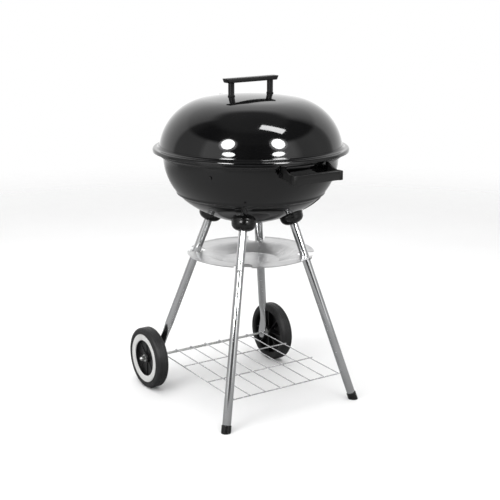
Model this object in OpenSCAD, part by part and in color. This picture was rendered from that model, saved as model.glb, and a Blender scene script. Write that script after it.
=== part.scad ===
// Kettle charcoal grill on a four-legged cart with two wheels.
// Millimetres, +Z up. The origin is on the floor under the middle of the
// grill's footprint. X runs along the wheel axle and +Y points to the wheels.

/* [Kettle] */
// Radius of the nearly flat crown of the lid
crown_r = 600; // [420:10:700]
// Radius of the lid's rounded shoulder
shoulder_r = 122; // [95:1:145]
// Height of the lid flange's top above the floor
rim_z = 588; // [480:2:720]
// Height of the lip that hangs down from the flange
lip_h = 8; // [6:0.5:12]
// Outside diameter of the bowl below its rim
bowl_d = 395; // [320:5:410]
// Distance that the lid's dome stands out past the bowl
dome_over = 8.5; // [6:0.5:14]
// Distance that the lid's flange stands out past the bowl
lid_over = 22.5; // [20:0.5:32]
// Radius of the bowl's round bottom
bowl_crown_r = 241; // [215:1:300]
// Radius of the bowl's rounded side
bowl_side_r = 135; // [110:5:150]
// Thickness of the enamelled steel sheet
sheet = 1.6; // [1:0.1:2.5]
// Height of the rolled hem around the bowl's rim
hem_h = 16.5; // [12:0.5:20]
// Distance that the hem stands out from the bowl
hem_out = 8; // [5:0.5:10]
// Distance of the pressed ridge inside the bowl's widest radius
ridge_in = 31.5; // [26:0.5:45]

/* [Vents] */
// Diameter of each vent hole
vent_hole_d = 14; // [8:1:18]
// Radius of the ring of holes in the lid
lid_vent_ring_r = 17; // [16:1:20]
// Distance of the lid vent's middle inside the dome's edge
lid_vent_in = 56; // [50:1:70]
// Diameter of the lid damper
lid_damper_d = 56; // [50:1:64]
// Radius of the ring of holes in the bowl
bowl_vent_ring_r = 30; // [26:1:34]
// Diameter of the bowl damper
bowl_damper_d = 92; // [84:2:100]
// Thickness of the damper sheet
damper_t = 1.2; // [0.8:0.1:2]

/* [Handles] */
// Length of the lid handle's bar
bar_l = 145; // [120:1:180]
// Depth of the lid handle's bar
bar_w = 20; // [14:1:26]
// Thickness of the lid handle's bar
bar_t = 9.5; // [7:0.5:14]
// Distance between the lid handle's posts
post_gap = 109; // [80:1:120]
// Width of each post along the bar
post_w = 10.5; // [9:0.5:16]
// Height of the lid handle above the crown of the lid
handle_h = 37; // [30:1:70]
// Turn of the lid handle about the kettle's axis, in degrees
handle_turn = 4.7; // [-15:0.1:15]
// Length of the side handle's grip
grip_l = 126; // [100:1:150]
// Height of the side handle's grip
grip_h = 19; // [14:1:24]
// Distance from the bowl's side to the front of the side handle
grip_out = 55.5; // [50:0.5:75]
// Drop of the side handle's grip below its lugs
grip_drop = 6; // [0:1:20]

/* [Cart] */
// Distance of each front foot from the middle, along the axle direction
foot_x = 175.8; // [150:1:220]
// Distance of each front foot in front of the kettle's axis
foot_y = 165.9; // [140:1:210]
// Outside diameter of the leg tubes
tube_d = 19; // [15:0.5:25]
// Wall of the leg tubes
tube_wall = 1.2; // [0.8:0.1:2]
// Distance of each leg socket from the kettle's axis
socket_r = 92; // [75:1:110]
// Direction of each leg socket, measured from the X axis
socket_angle = 46.5; // [38:0.5:52]
// Diameter of the leg sockets
socket_d = 56; // [44:1:60]
// Height of the leg sockets
socket_h = 27; // [22:1:34]
// Length of tube inside each socket
leg_grip = 16; // [10:1:19]
// Height of the rubber-like foot caps
cap_h = 16; // [10:1:25]
// Diameter of the wheels
wheel_d = 145; // [120:1:190]
// Width of the wheels
wheel_w = 30; // [20:1:40]
// Diameter of the axle
axle_d = 6; // [5:0.5:10]
// Distance of the axle behind the kettle's axis
axle_y = 170.2; // [150:1:200]
// Distance of each flattened rear leg end from the middle
ear_x = 147.5; // [125:0.5:150]
// Distance from the middle to the outer face of each wheel
wheel_out_x = 193.5; // [185:1:220]

/* [Tray and shelf] */
// Height of the ash tray's flat border above the floor
tray_z = 343; // [300:1:380]
// Diameter of the ash tray
tray_d = 291; // [280:1:310]
// Depth of the ash tray's dished middle
tray_depth = 18; // [8:1:24]
// Diameter of the flat floor in the ash tray
tray_floor_d = 130; // [100:2:140]
// Width of the slope from the tray's floor up to its flat border
tray_slope_w = 41; // [20:1:41]
// Room beside each leg in the tray's slot
slot_gap = 10.5; // [9:0.5:14]
// Distance of each leg from the middle of its slot
slot_shift = 7.5; // [0:0.5:8]
// Distance between the shelf's two outer wires
shelf_w = 287; // [250:1:290]
// Number of long wires in the shelf
shelf_wires = 8; // [5:1:11]
// Diameter of the shelf wire
wire_d = 2.6; // [2:0.1:5]
// Height of the shelf's front above the floor
shelf_z = 64.4; // [50:1:100]

/* [Grates] */
// Room between the bowl's side and the middle of the cooking grate's ring
cook_gap = 9.5; // [8:0.5:15]
// Depth of the cooking grate below the lid flange
cook_drop = 30; // [26:1:45]
// Wire of the grates' outer rings
ring_wire_d = 5; // [4:0.5:7]
// Wire of the grates' bars
bar_wire_d = 3.6; // [2.5:0.1:5]
// Distance between the cooking grate's bars
cook_pitch = 15.5; // [12:0.5:20]
// Distance between the charcoal grate's bars
coal_pitch = 21; // [17:1:30]

/* [Hidden] */

$fn = 96;
hull_fn = 32;
big = 1000;
touch = 0.1;     // gap between parts that are fixed together
free_gap = 0.35; // gap between parts that move past each other
run_gap = 0.05;  // radial clearance of a shaft in its bore

// Lid: a crown of large radius and a rounded shoulder, above a flange
bowl_r = bowl_d / 2;
dome_r = bowl_r + dome_over;
lid_r = bowl_r + lid_over;
flare_r = 6;
widest_z = rim_z - 13.5;
crown_angle = asin((dome_r - shoulder_r) / (crown_r - shoulder_r));
dome_h = crown_r - (crown_r - shoulder_r) * cos(crown_angle);
lid_top_z = widest_z + dome_h;

// Bowl: the same kind of form upside down
bowl_widest_z = rim_z - 15;
bowl_angle = asin((bowl_r - bowl_side_r) / (bowl_crown_r - bowl_side_r));
bowl_h = bowl_crown_r - (bowl_crown_r - bowl_side_r) * cos(bowl_angle);
bowl_bottom_z = bowl_widest_z - bowl_h;
bowl_centre_z = bowl_bottom_z + bowl_crown_r;
hem_top_z = rim_z - sheet - free_gap;
hem_z = hem_top_z - hem_h;

// Height of the bowl's outer surface at radius r
function bowl_z(r) =
    r < bowl_crown_r * sin(bowl_angle)
    ? bowl_centre_z - sqrt(bowl_crown_r * bowl_crown_r - r * r)
    : bowl_widest_z - sqrt(max(0, bowl_side_r * bowl_side_r
        - (r - bowl_r + bowl_side_r) * (r - bowl_r + bowl_side_r)));
// Radius of the bowl's outer surface at height z, on its rounded side
function bowl_radius(z) =
    bowl_r - bowl_side_r
    + sqrt(bowl_side_r * bowl_side_r - min(0, z - bowl_widest_z) * min(0, z - bowl_widest_z));
// Height of the bowl's inner surface at radius r, on its rounded side
function bowl_inside_z(r) =
    bowl_widest_z - sqrt((bowl_side_r - sheet) * (bowl_side_r - sheet)
        - (r - bowl_r + bowl_side_r) * (r - bowl_r + bowl_side_r));
// Height of the lid's outer surface at radius r
function lid_z(r) =
    r < crown_r * sin(crown_angle)
    ? lid_top_z - crown_r + sqrt(crown_r * crown_r - r * r)
    : widest_z + sqrt(shoulder_r * shoulder_r
        - (r - dome_r + shoulder_r) * (r - dome_r + shoulder_r));

// Front to back: the frame's origin is midway between handle and wheels
wheel_r = wheel_d / 2;
grip_reach = bowl_r + grip_out;
axis_y = (grip_reach - axle_y - wheel_r) / 2;

// Cart geometry, each leg running from its socket towards the floor
socket_x = socket_r * cos(socket_angle);
socket_y = socket_r * sin(socket_angle);
seat_z = bowl_z(socket_r);
axle_z = wheel_r;
axle_r = axle_d / 2;
wire_r = wire_d / 2;
ear_t = 4;
cap_floor = 3;
cap_wall = 1.5;
cap_sink = 10;
ear_w = 25;
ear_bend_z = axle_z + 31.5;
ear_bend_y = axle_y - 7.7;
press_l = 56;
waist_w = 22;
front_top = [socket_x, -socket_y, seat_z];
front_foot = [foot_x, -foot_y, 0];
rear_top = [socket_x, socket_y, seat_z];
rear_bend = [ear_x, ear_bend_y, ear_bend_z];
ear_end = [ear_x, axle_y, axle_z];

// A point part of the way along a straight line from p to q
function mix(p, q, t) = p + (q - p) * t;
// The point where the line from p to q reaches height z
function at_height(p, q, z) = mix(p, q, (z - p[2]) / (q[2] - p[2]));

shelf_front = at_height(front_top, front_foot, shelf_z);
shelf_back_z = axle_z + axle_r + wire_r + run_gap;
hook_r = axle_r + wire_r + run_gap;
tray_sheet = 1.2;
tray_rest_z = tray_z - tray_sheet - 2.6;
screw_r = 2.5;
bolt_r = 3;
bolt_head_z = sheet + 1.5;
axle_end = wheel_out_x + 6;
strap_w = 16;
strap_t = 2;

// Handles
bar_top_z = lid_top_z + handle_h;
foot_t = 2.5;
post_d = bar_w / 2;
handle_screw_deep = 15;
lug_x = 50;
lug_w = 12;
lug_h = 18;
lug_wall = 2;
lug_back = 2.5;
lug_z = hem_z - touch - lug_h / 2 - 1;
lug_y = bowl_radius(lug_z);
lug_screw_y = lug_y + 7;
grip_z = lug_z - grip_drop;
grip_t = 15;
grip_cap_w = 8;
arm_x = grip_l / 2 - grip_cap_w / 2;
arm_root_h = 26;

// Vents
lid_vent_r = dome_r - lid_vent_in;
vent_middle = [0, lid_vent_r, lid_z(lid_vent_r)];
vent_slope = asin((lid_vent_r - dome_r + shoulder_r) / shoulder_r);
damper_cap_r = lid_vent_r / sin(vent_slope);
lid_damper_lift = free_gap + 0.3;
through = 60; // length of a cutter that passes right through a sheet

// Grates
cook_d = bowl_d - 2 * cook_gap;
cook_z = rim_z - cook_drop;
cook_bar_z = cook_z + (ring_wire_d + bar_wire_d) / 2;
brace_x = cook_d * 0.2;
loop_x = cook_d * 0.37;
bracket_t = 1.6;
bracket_z = cook_z - ring_wire_d / 2 - free_gap;
bracket_angles = [90, 210, 330];
rivet_r = 2.3;
ridge_r = bowl_r - ridge_in;
ridge_z = bowl_z(ridge_r);
coal_r = ridge_r - 10;
coal_slope = asin((coal_r - ring_wire_d / 2 - bowl_r + bowl_side_r) / (bowl_side_r - sheet));
coal_z = bowl_inside_z(coal_r - ring_wire_d / 2) + (ring_wire_d / 2 + free_gap) / cos(coal_slope);

// Wheels
hub_r = 58;
ring_in_r = 43;
boss_r = 13;
wheel_in_x = wheel_out_x - wheel_w;
wheel_share = wheel_r / 72.5;

// ---------- helpers ----------

// Moves a child that is modelled about the kettle's axis into the frame
module on_axis() translate([0, axis_y, 0]) children();

// Turns +Z into the direction from p to q, starting at p
module along(p, q) {
    d = q - p;
    translate(p)
        rotate([0, acos(d[2] / norm(d)), atan2(d[1], d[0])])
            children();
}

module rod(p, q, d) {
    along(p, q) cylinder(h = norm(q - p), d = d, $fn = 24);
}

// Points on an arc about [cx, cz], from angle a0 to a1, measured from +Z
function arc(cx, cz, r, a0, a1, n) =
    [for (i = [0:n]) let (a = a0 + (a1 - a0) * i / n) [cx + r * sin(a), cz + r * cos(a)]];

// The dome's outline from its top to the flange, inset by t
function dome_line(t) = concat(
    arc(0, lid_top_z - crown_r, crown_r - t, 0, crown_angle, 8),
    arc(dome_r - shoulder_r, widest_z, shoulder_r - t, crown_angle + 3,
        90 - asin((rim_z + flare_r - widest_z) / shoulder_r), 24));

// The bowl's outline from its bottom to the rim, inset by t
function bowl_line(t) = concat(
    arc(0, bowl_centre_z, bowl_crown_r - t, 180, 180 - bowl_angle, 12),
    arc(bowl_r - bowl_side_r, bowl_widest_z, bowl_side_r - t, 180 - bowl_angle - 3, 90, 20),
    [[bowl_r - t, hem_top_z]]);

function backwards(list) = [for (i = [len(list) - 1:-1:0]) list[i]];

// The dome's half outline, inset by t and closed at the flange
module dome_outline(t) {
    low_z = rim_z - big / 2;
    polygon(concat([[0, low_z]], dome_line(t), [[dome_r - t, rim_z], [dome_r - t, low_z]]));
}

// The bowl's half outline, inset by t and closed at the rim
module bowl_outline(t) {
    polygon(concat(bowl_line(t), [[0, hem_top_z]]));
}

// ---------- bowl and what is fixed to it ----------

module hem_outline() {
    w = hem_out + sheet;
    translate([bowl_r - sheet + w / 2, 0]) {
        translate([0, hem_z + w / 2]) circle(d = w, $fn = 48);
        translate([0, hem_top_z - w / 2]) circle(d = w, $fn = 48);
        translate([-w / 2, hem_z + w / 2]) square([w, hem_h - w]);
    }
}

module bowl_shell() {
    rotate_extrude() {
        polygon(concat(bowl_line(0), backwards(bowl_line(sheet))));
        hem_outline();
        translate([ridge_r - 1.2, ridge_z + 1.2]) circle(r = 3, $fn = 32);
    }
}

// Places a child at each leg socket, with +Z pointing up along the leg
module at_sockets() {
    for (sx = [-1, 1]) {
        along([sx * front_top[0], front_top[1], front_top[2]],
              [sx * (2 * front_top[0] - front_foot[0]), 2 * front_top[1] - front_foot[1],
               2 * front_top[2] - front_foot[2]]) children();
        along([sx * rear_top[0], rear_top[1], rear_top[2]],
              [sx * (2 * rear_top[0] - rear_bend[0]), 2 * rear_top[1] - rear_bend[1],
               2 * rear_top[2] - rear_bend[2]]) children();
    }
}

// Four holes around the bowl's lowest point
module bowl_vent_holes() {
    for (a = [45:90:315])
        rotate([0, 0, a])
            translate([bowl_vent_ring_r, 0, 0])
                cylinder(h = through, d = vent_hole_d, center = true);
}

// Three holes around the middle of the lid vent
module lid_vent_holes() {
    for (a = [0:120:240])
        rotate([0, 0, a])
            translate([0, lid_vent_ring_r, 0])
                cylinder(h = through, d = vent_hole_d, center = true);
}

module bowl() {
    color("black") on_axis() difference() {
        bowl_shell();
        translate([0, 0, bowl_bottom_z])
            bowl_vent_holes();
        translate([0, 0, bowl_bottom_z])
            cylinder(h = through, r = screw_r + touch, center = true);
        at_sockets()
            cylinder(h = through / 2, r = bolt_r + touch, center = true);
        at_brackets()
            rotate([0, 90, 0])
                cylinder(h = through / 3, r = rivet_r + touch, center = true);
    }
}

// Straps that carry the sockets, lying on the outside of the bowl
module leg_straps() {
    strap_in = socket_r + socket_d / 2 + 0.5;
    turn = 2 * asin(strap_w / 2 / (strap_in + ridge_r) * 2);
    points = [for (i = [0:8]) strap_in + (ridge_r - 4 - strap_in) * i / 8];
    color("black") on_axis()
        for (a = [socket_angle, 180 - socket_angle, 180 + socket_angle, -socket_angle])
            rotate([0, 0, a - turn / 2]) rotate_extrude(angle = turn, $fn = 360)
                polygon(concat([for (r = points) [r, bowl_z(r) - touch]],
                               [for (r = backwards(points)) [r, bowl_z(r) - touch - strap_t]]));
}

// A rounded cup whose upper end is trimmed to the bowl later
module socket_body() {
    rim = 6;
    difference() {
        intersection() {
            translate([0, 0, -socket_h * 0.22])
                sphere(d = socket_d);
            translate([0, 0, -socket_h])
                cylinder(h = socket_h * 2, d = socket_d);
        }
        translate([0, 0, -big - socket_h])
            cylinder(h = big, d = socket_d * 2);
        cylinder(h = big, d = socket_d * 2);
    }
    translate([0, 0, -rim])
        cylinder(h = rim, d = socket_d);
}

module leg_socket(top, foot) {
    trim = 5;
    color("black") on_axis() difference() {
        along(top, 2 * top - foot) difference() {
            translate([0, 0, trim])
                socket_body();
            translate([0, 0, -big - socket_h + leg_grip])
                cylinder(h = big, r = tube_d / 2 + touch);
            translate([0, 0, -socket_h])
                cylinder(h = big, r = bolt_r + touch);
        }
        rotate_extrude() bowl_outline(-touch);
    }
}

module leg_socket_at(sx, sy) {
    top = sy < 0 ? front_top : rear_top;
    foot = sy < 0 ? front_foot : rear_bend;
    leg_socket([sx * top[0], top[1], top[2]], [sx * foot[0], foot[1], foot[2]]);
}

// Bolt from inside the bowl, down through the socket into the leg
module leg_bolts() {
    color("silver") on_axis() at_sockets() {
        translate([0, 0, bolt_head_z]) {
            cylinder(h = 1.2, r = 8);
            translate([0, 0, 1.2]) intersection() {
                translate([0, 0, -3.5]) sphere(r = 7);
                cylinder(h = 6, r = 7);
            }
        }
        translate([0, 0, -socket_h + leg_grip - 12]) cylinder(h = socket_h + 8, r = bolt_r);
    }
}

// Plug nuts pressed into the upper ends of the legs
module leg_inserts() {
    color("silver") on_axis() at_sockets()
        translate([0, 0, -socket_h + leg_grip - 10]) difference() {
            cylinder(h = 8, r = tube_d / 2 - tube_wall - touch);
            translate([0, 0, -1]) cylinder(h = 10, r = bolt_r + run_gap);
        }
}

// ---------- legs ----------

module leg_front(sx) {
    top = [sx * front_top[0], front_top[1], front_top[2]];
    foot = [sx * front_foot[0], front_foot[1], front_foot[2]];
    len = norm(foot - top);
    hole = [sx * shelf_front[0], shelf_front[1], shelf_z];
    color("silver") on_axis() difference() {
        along(top, foot) difference() {
            translate([0, 0, socket_h - leg_grip + touch])
                cylinder(h = len - socket_h + leg_grip - touch, d = tube_d);
            cylinder(h = len + 1, d = tube_d - 2 * tube_wall);
        }
        translate([-big, -big, -big + cap_floor]) cube([2 * big, 2 * big, big]);
        translate(hole) rotate([0, -sx * 90, 0]) cylinder(h = tube_d, r = wire_r + touch);
        tray_screw_hole(sx, -1);
    }
}

// The tube is pressed flat towards its lower end, where it holds the axle
module leg_rear() {
    top = [-rear_top[0], rear_top[1], rear_top[2]];
    bend = [-rear_bend[0], rear_bend[1], rear_bend[2]];
    end = [-ear_end[0], ear_end[1], ear_end[2]];
    tube_end = mix(bend, top, press_l / norm(top - bend));
    waist = mix(bend, top, press_l * 0.42 / norm(top - bend));
    color("silver") on_axis() difference() {
        union() {
            along(top, bend) difference() {
                translate([0, 0, socket_h - leg_grip + touch])
                    cylinder(h = norm(tube_end - top) - socket_h + leg_grip - touch, d = tube_d);
                translate([0, 0, -1]) cylinder(h = norm(tube_end - top) - 4, d = tube_d - 2 * tube_wall);
            }
            hull() {
                along(tube_end, bend) translate([0, 0, -3])
                    cylinder(h = 1, d = tube_d - 0.6, $fn = hull_fn);
                pressed(waist, bend);
            }
            hull() {
                pressed(waist, bend);
                ear_frame(bend, end) translate([0, 0, 3])
                    cube([ear_t - 0.3, ear_w - 0.6, 2], center = true);
            }
            ear(bend, end);
        }
        translate(end) rotate([0, 90, 0]) cylinder(h = big, r = axle_r + run_gap, center = true);
        tray_screw_hole(-1, 1);
    }
}

// Turns +Z along the flattened end and keeps its flat faces square to the axle
module ear_frame(bend, end) {
    translate(bend) rotate([atan2(bend[1] - end[1], end[2] - bend[2]), 0, 0]) children();
}

// The squeezed stretch of tube above the bend
module pressed(p, bend) {
    ear_frame(p, bend) scale([0.3, 1, 1]) cylinder(h = 1, d = waist_w, $fn = hull_fn);
}

module ear(bend, end) {
    len = norm(end - bend);
    ear_frame(bend, end) {
        translate([-ear_t / 2, -ear_w / 2, 0]) cube([ear_t, ear_w, len]);
        translate([-ear_t / 2, 0, len]) rotate([0, 90, 0]) cylinder(h = ear_t, d = ear_w);
    }
}

module foot_cap(sx) {
    top = [sx * front_top[0], front_top[1], front_top[2]];
    foot = [sx * front_foot[0], front_foot[1], front_foot[2]];
    color("black") on_axis() difference() {
        along(foot, top)
            rotate([0, 0, 90])
                translate([0, 0, -cap_sink])
                    cylinder(h = cap_h + cap_sink, d = tube_d + 2 * cap_wall);
        intersection() {
            along(foot, top)
                rotate([0, 0, 90])
                    translate([0, 0, -cap_sink])
                        cylinder(h = big / 10, d = tube_d + 2 * touch);
            translate([-big, -big, cap_floor - touch])
                cube([2 * big, 2 * big, big]);
        }
        translate([-big, -big, -big])
            cube([2 * big, 2 * big, big]);
    }
}

// ---------- ash tray ----------

// The point where a leg's middle line passes a height
function front_at(sx, z) = let (p = at_height(front_top, front_foot, z)) [sx * p[0], p[1], z];
function rear_at(sx, z) = let (p = at_height(rear_top, rear_bend, z)) [sx * p[0], p[1], z];
function leg_at(sx, sy, z) = sy < 0 ? front_at(sx, z) : rear_at(sx, z);

module at_tray_screw(sx, sy) {
    p = leg_at(sx, sy, tray_rest_z - screw_r);
    translate(p) rotate([0, 0, atan2(p[1], p[0])]) children();
}

module tray_screw_hole(sx, sy) {
    at_tray_screw(sx, sy) rotate([0, 90, 0]) cylinder(h = tube_d * 2, r = screw_r + touch, center = true);
}

module tray_screws() {
    color("silver") on_axis() for (sx = [-1, 1], sy = [-1, 1]) at_tray_screw(sx, sy) {
        translate([-tube_d / 2 - 13.5, 0, 0]) rotate([0, 90, 0])
            cylinder(h = tube_d + 16.5, r = screw_r);
        translate([tube_d / 2 + 2.5, 0, 0]) rotate([0, 90, 0]) intersection() {
            cylinder(h = 4, r = 5);
            translate([0, 0, -2.2]) sphere(r = 5.6);
        }
    }
}

module tray_outline(t) {
    r = tray_d / 2;
    wall_r = tray_floor_d / 2 + tray_slope_w;
    polygon([[0, tray_z - tray_depth], [tray_floor_d / 2, tray_z - tray_depth],
             [wall_r, tray_z], [r - 5, tray_z], [r - 3, tray_z + 2], [r, tray_z + 2],
             [r, tray_z + 2 - t], [r - 2, tray_z + 2 - t], [r - 4, tray_z - t],
             [wall_r + t * 0.4, tray_z - t], [tray_floor_d / 2 + t * 0.4, tray_z - tray_depth - t],
             [0, tray_z - tray_depth - t]]);
}

module ash_tray() {
    leg_r = norm([front_at(1, tray_z)[0], front_at(1, tray_z)[1]]);
    slot_w = tube_d + 2 * slot_gap;
    slot_in = leg_r - tube_d / 2 - 8;
    color("lightgray") on_axis() difference() {
        rotate_extrude() tray_outline(tray_sheet);
        for (sx = [-1, 1], sy = [-1, 1]) {
            p = leg_at(sx, sy, tray_z);
            rotate([0, 0, atan2(p[1], p[0]) + asin(slot_shift / leg_r)]) {
                translate([slot_in + slot_w / 2, -slot_w / 2, tray_z - 10]) cube([big, slot_w, 20]);
                translate([slot_in + slot_w / 2, 0, tray_z - 10]) cylinder(h = 20, d = slot_w);
            }
        }
    }
}

// ---------- wire shelf, axle and wheels ----------

module wire_shelf() {
    front = [shelf_front[0] - tube_d / 2 + tube_wall, shelf_front[1], shelf_z];
    step = shelf_w / (shelf_wires - 1);
    color("silver") on_axis() {
        rod([-front[0] - 2, front[1], shelf_z], [front[0] + 2, front[1], shelf_z], wire_d);
        for (i = [0:shelf_wires - 1]) {
            x = -shelf_w / 2 + i * step;
            rod([x, front[1], shelf_z], [x, axle_y, shelf_back_z], wire_d);
            translate([x, axle_y, axle_z]) hook();
        }
        for (t = [1 / 3, 2 / 3]) {
            p = mix([0, axle_y, shelf_back_z], [0, front[1], shelf_z], t);
            z = p[2] + wire_d * 0.85;
            rod([-shelf_w / 2 - 4, p[1], z], [shelf_w / 2 + 4, p[1], z], wire_d);
        }
    }
}

// The wire's end curls back over the axle
module hook() {
    rotate([90, 0, 90]) rotate([0, 0, -70])
        rotate_extrude(angle = 160, $fn = 64) translate([hook_r, 0]) circle(r = wire_r, $fn = 24);
}

module axle() {
    color("silver") on_axis() translate([-axle_end, axle_y, axle_z]) rotate([0, 90, 0])
        cylinder(h = 2 * axle_end, r = axle_r);
}

// Places a wheel piece that is modelled along +Z, outer face at wheel_w
module at_wheel(sx) {
    on_axis() translate([sx * wheel_in_x, axle_y, axle_z]) rotate([0, sx * 90, 0]) children();
}

module tyre() {
    in_r = hub_r * wheel_share;
    edge = 7;
    rotate_extrude($fn = 180) difference() {
        union() {
            translate([in_r, 0]) square([wheel_r - edge - in_r, wheel_w]);
            translate([wheel_r - edge - 1, edge]) square([edge + 1, wheel_w - 2 * edge]);
            translate([wheel_r - edge, edge]) circle(r = edge, $fn = 48);
            translate([wheel_r - edge, wheel_w - edge]) circle(r = edge, $fn = 48);
        }
        for (y = [wheel_w * 0.32, wheel_w * 0.68])
            translate([wheel_r, y]) circle(r = 0.9, $fn = 16);
        translate([wheel_r - edge - 1.5, wheel_w + 0.4]) circle(r = 1, $fn = 16);
    }
}

// Web, ribs, rim band and boss of one moulded wheel centre
module hub() {
    out_r = hub_r * wheel_share - touch;
    in_r = ring_in_r * wheel_share;
    web_z = wheel_w - 13;
    difference() {
        union() {
            rotate_extrude($fn = 120) {
                translate([boss_r - 2, web_z]) square([out_r - boss_r - 4, 3]);
                translate([in_r, web_z]) square([2.5, wheel_w - 3 - web_z]);
                translate([in_r, wheel_w - 5.5]) square([out_r - in_r, 2.5]);
                translate([out_r - 3, 2]) square([3, wheel_w - 5]);
            }
            translate([0, 0, -1]) cylinder(h = wheel_w - 3, r = boss_r);
            for (a = [0:45:315]) rotate([0, 0, a]) {
                translate([boss_r - 2, -1.25, 5]) cube([out_r - boss_r, 2.5, web_z - 4]);
                translate([boss_r - 2, -1.25, web_z + 2]) cube([in_r - boss_r + 3, 2.5, 2]);
            }
        }
        translate([0, 0, -5]) cylinder(h = wheel_w + 10, r = axle_r + run_gap);
    }
}

module trim_ring() {
    out_r = hub_r * wheel_share - touch;
    in_r = ring_in_r * wheel_share;
    rotate_extrude($fn = 120)
        polygon([[in_r, wheel_w - 3 + touch], [out_r, wheel_w - 3 + touch], [out_r, wheel_w - 0.8],
                 [out_r - 1, wheel_w], [in_r + 1.5, wheel_w - 0.6], [in_r, wheel_w - 1.6]]);
}

module axle_washers() {
    color("silver") on_axis() for (sx = [-1, 1]) translate([0, axle_y, axle_z]) {
        translate([sx * (wheel_in_x - 1 - free_gap), 0, 0]) rotate([0, -sx * 90, 0]) washer();
        translate([sx * (wheel_out_x - 4 + free_gap), 0, 0]) rotate([0, sx * 90, 0]) washer();
    }
}

module washer() {
    difference() {
        cylinder(h = 1.2, r = 8.5);
        translate([0, 0, -1]) cylinder(h = 4, r = axle_r + run_gap);
    }
}

// Hexagonal nuts with a closed dome on the axle's ends
module axle_nuts() {
    color("silver") on_axis() for (sx = [-1, 1])
        translate([sx * (wheel_out_x - 4 + free_gap + 1.2 + touch), axle_y, axle_z])
            rotate([0, sx * 90, 0]) difference() {
                union() {
                    cylinder(h = 5, r = 5.8, $fn = 6);
                    translate([0, 0, 5]) cylinder(h = 2.5, r = 4.6);
                    translate([0, 0, 7.5]) sphere(r = 4.6);
                }
                translate([0, 0, -1]) cylinder(h = axle_end - wheel_out_x + 4 + 1, r = axle_r + run_gap);
            }
}

// ---------- side handle ----------

// The handle's loop: two arms and a grip with closed end caps
module side_handle() {
    arm_root = [lug_x + lug_w / 2 + touch + 2, -lug_screw_y, lug_z];
    arm_tip = [arm_x, -grip_reach + 9, grip_z];
    cap_proud = 0.6;
    color("black") on_axis() difference() {
        union() {
            for (sx = [-1, 1])
                hull() {
                    translate([sx * arm_root[0], arm_root[1], arm_root[2] + arm_root_h / 2 - lug_h / 2])
                        cube([4, 8, arm_root_h], center = true);
                    translate([sx * arm_tip[0], arm_tip[1], arm_tip[2]])
                        cube([5, 8, grip_h - 2], center = true);
                }
            translate([-grip_l / 2, -grip_reach, grip_z - grip_h / 2])
                cube([grip_l, grip_t, grip_h]);
            for (sx = [-1, 1])
                translate([sx * arm_x - grip_cap_w / 2, -grip_reach,
                           grip_z - grip_h / 2 - cap_proud])
                    cube([grip_cap_w, grip_t + 1, grip_h + 2 * cap_proud]);
        }
        for (sx = [-1, 1])
            translate([sx * arm_root[0], arm_root[1], lug_z])
                rotate([0, 90, 0])
                    cylinder(h = through / 2, r = screw_r + touch, center = true);
    }
}

// U-shaped steel lugs welded under the rim
module side_handle_lugs() {
    color("black") on_axis() for (sx = [-1, 1]) difference() {
        translate([sx * lug_x - lug_w / 2, -lug_y - 12, lug_z - lug_h / 2])
            cube([lug_w, 24, lug_h]);
        translate([sx * lug_x - lug_w / 2 + lug_wall, -lug_y - 30, lug_z - lug_h])
            cube([lug_w - 2 * lug_wall, 30 - lug_back, 2 * lug_h]);
        rotate_extrude() bowl_outline(-touch);
        translate([sx * lug_x, -lug_screw_y, lug_z])
            rotate([0, 90, 0])
                cylinder(h = through / 2, r = screw_r + touch, center = true);
    }
}

module side_handle_screws() {
    color("silver") on_axis() for (sx = [-1, 1])
        translate([sx * (lug_x - lug_w / 2 - 2.5), -lug_screw_y, lug_z]) rotate([0, sx * 90, 0]) {
            cylinder(h = lug_w + 10, r = screw_r);
            translate([0, 0, lug_w + 7.7]) cylinder(h = 2.6, r = 4.6);
            translate([0, 0, -1]) cylinder(h = 2.4, r = 4.6, $fn = 6);
        }
}

// ---------- lid and what is fixed to it ----------

// Dome, flared flange and hanging lip, drawn as one closed outline
module lid_shell() {
    roll = 4;
    flange_r = dome_r + flare_r;
    rotate_extrude() polygon(concat(
        dome_line(0),
        arc(flange_r, rim_z + flare_r, flare_r, 270, 180, 8),
        arc(lid_r - roll, rim_z - roll, roll, 0, 90, 8),
        [[lid_r, rim_z - lip_h], [lid_r - sheet, rim_z - lip_h]],
        arc(lid_r - roll, rim_z - roll, roll - sheet, 90, 0, 6),
        [[dome_r - sheet, rim_z - sheet]],
        backwards(dome_line(sheet))));
}

// Places a child at the middle of the lid vent, with +Z pointing out of the lid
module at_lid_vent() {
    translate(vent_middle) rotate([-vent_slope, 0, 0]) children();
}

module lid() {
    color("black") on_axis() difference() {
        lid_shell();
        at_handle_screws(lid_top_z)
            cylinder(h = through, r = screw_r + touch, center = true);
        at_lid_vent() {
            lid_vent_holes();
            cylinder(h = through, r = screw_r + touch, center = true);
        }
    }
}

// A disc of sheet, domed to lie on a surface of radius r_in
module damper_cap(r_in, d) {
    rotate_extrude() intersection() {
        difference() {
            translate([0, -r_in]) circle(r = r_in + damper_t, $fn = 360);
            translate([0, -r_in]) circle(r = r_in, $fn = 360);
        }
        translate([0, -through]) square([d / 2, 2 * through]);
    }
}

module lid_damper() {
    tab = [2.4, 12, 11];
    color("silver") on_axis() at_lid_vent() difference() {
        union() {
            translate([0, 0, lid_damper_lift])
                damper_cap(damper_cap_r, lid_damper_d);
            translate([lid_damper_d / 2 - 7, -tab[1] / 2, lid_damper_lift - 0.8])
                cube(tab);
        }
        lid_vent_holes();
        cylinder(h = through, r = screw_r + run_gap, center = true);
    }
}

module lid_damper_rivet() {
    color("silver") on_axis() at_lid_vent() {
        translate([0, 0, -sheet - 2])
            cylinder(h = sheet + 6, r = screw_r);
        translate([0, 0, lid_damper_lift + damper_t + free_gap])
            cylinder(h = 2, r = 5);
        translate([0, 0, -sheet - 2.4])
            cylinder(h = 1.8, r = 5);
    }
}

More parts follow.
